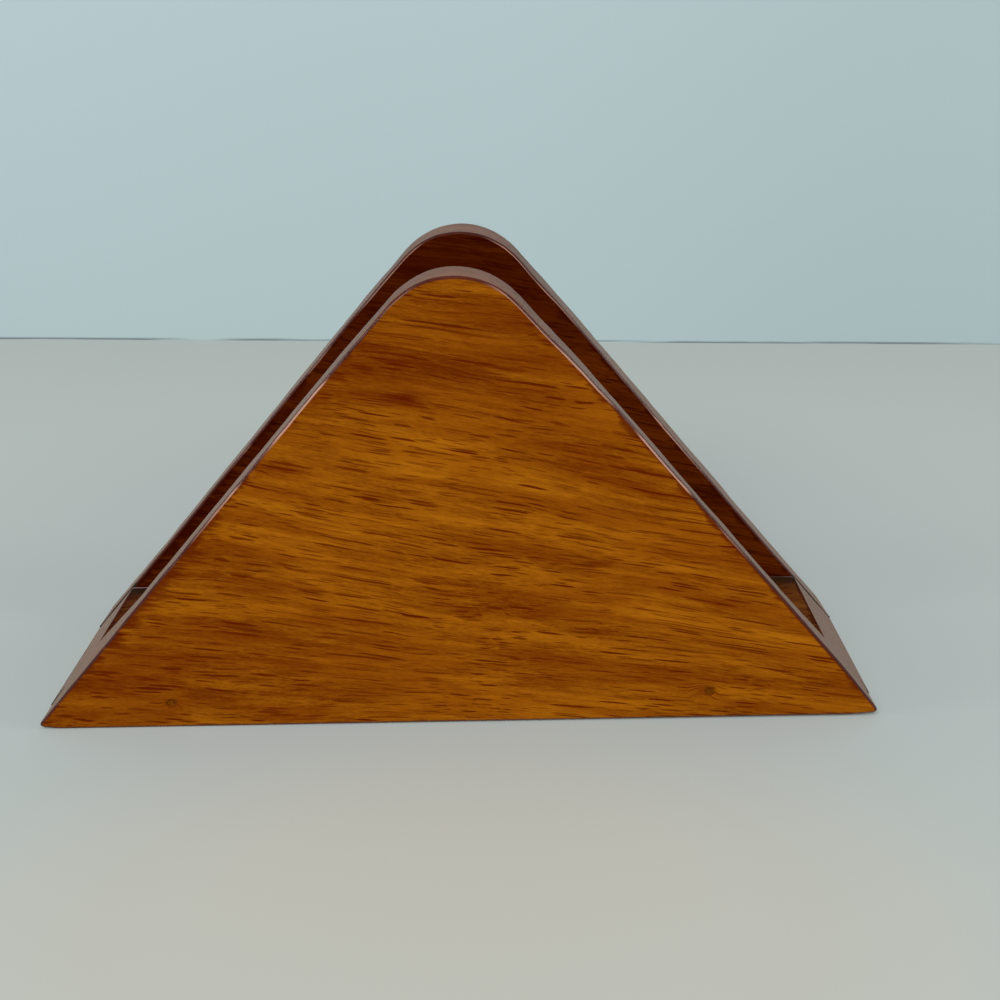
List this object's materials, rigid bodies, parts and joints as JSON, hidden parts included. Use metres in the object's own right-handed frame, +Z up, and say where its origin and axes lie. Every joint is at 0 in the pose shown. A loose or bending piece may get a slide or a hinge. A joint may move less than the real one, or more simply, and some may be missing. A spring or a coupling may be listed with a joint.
{
  "type": "napkin holder",
  "caption": "Triangular wooden napkin holder: two upright boards with rounded peaks and a flat base board glued and nailed between them, open at the top and both ends.",
  "frame": {"origin": "centre of the footprint, on the surface that the holder stands on", "axes": "+X along the length of the boards, +Y from the front board to the back board, +Z up"},
  "size_m": [0.2002, 0.059, 0.1065],
  "materials": {
    "lacquered_board": "amber-brown hardwood under clear satin lacquer, grain along the length",
    "lacquered_base": "the same hardwood and satin lacquer, grain along the length, end grain at the sloping ends",
    "brad_steel": "plain bright wire",
    "wood_putty": "reddish-brown wood putty under the lacquer"
  },
  "bodies": {
    "root": {"front_panel": "lacquered_board", "back_panel": "lacquered_board", "base_board": "lacquered_base", "front_left_brad": "brad_steel", "front_right_brad": "brad_steel", "back_left_brad": "brad_steel", "back_right_brad": "brad_steel", "front_left_filler": "wood_putty", "front_right_filler": "wood_putty", "back_left_filler": "wood_putty", "back_right_filler": "wood_putty"}
  },
  "joints": []
}
